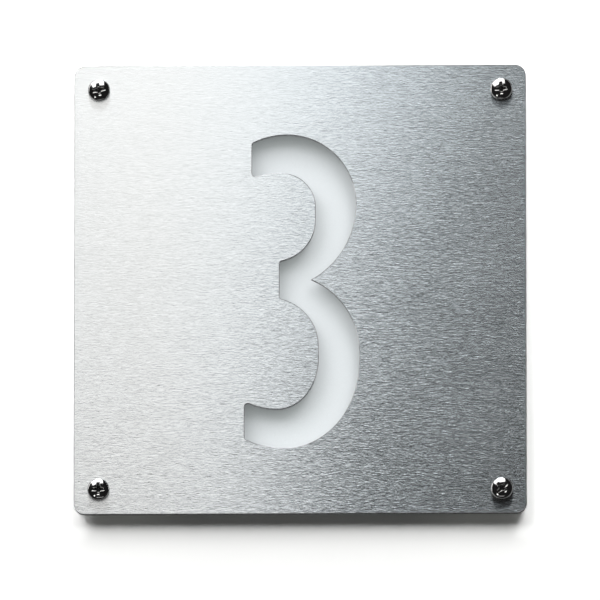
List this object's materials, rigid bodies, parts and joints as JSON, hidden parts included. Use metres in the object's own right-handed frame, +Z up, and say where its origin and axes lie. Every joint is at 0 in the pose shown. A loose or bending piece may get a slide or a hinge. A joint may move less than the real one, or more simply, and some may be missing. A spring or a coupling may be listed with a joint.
{
  "type": "house number",
  "caption": "Square brushed metal house number plate with a cut-out numeral, held off the wall on spacer sleeves by pan-head corner screws.",
  "frame": {"origin": "centre of the screw pattern on the wall's surface, where the backs of the spacers rest", "axes": "+Z up and +X to the right as the numeral is read, +Y into the wall along the screws"},
  "size_m": [0.15, 0.0346, 0.15],
  "materials": {
    "plate": "horizontally brushed stainless steel",
    "screws": "bright polished stainless steel",
    "spacers": "black moulded nylon"
  },
  "bodies": {
    "root": {"face_plate": "plate", "corner_screws": "screws", "spacer_top_left": "spacers", "spacer_top_right": "spacers", "spacer_bottom_left": "spacers", "spacer_bottom_right": "spacers"}
  },
  "joints": []
}
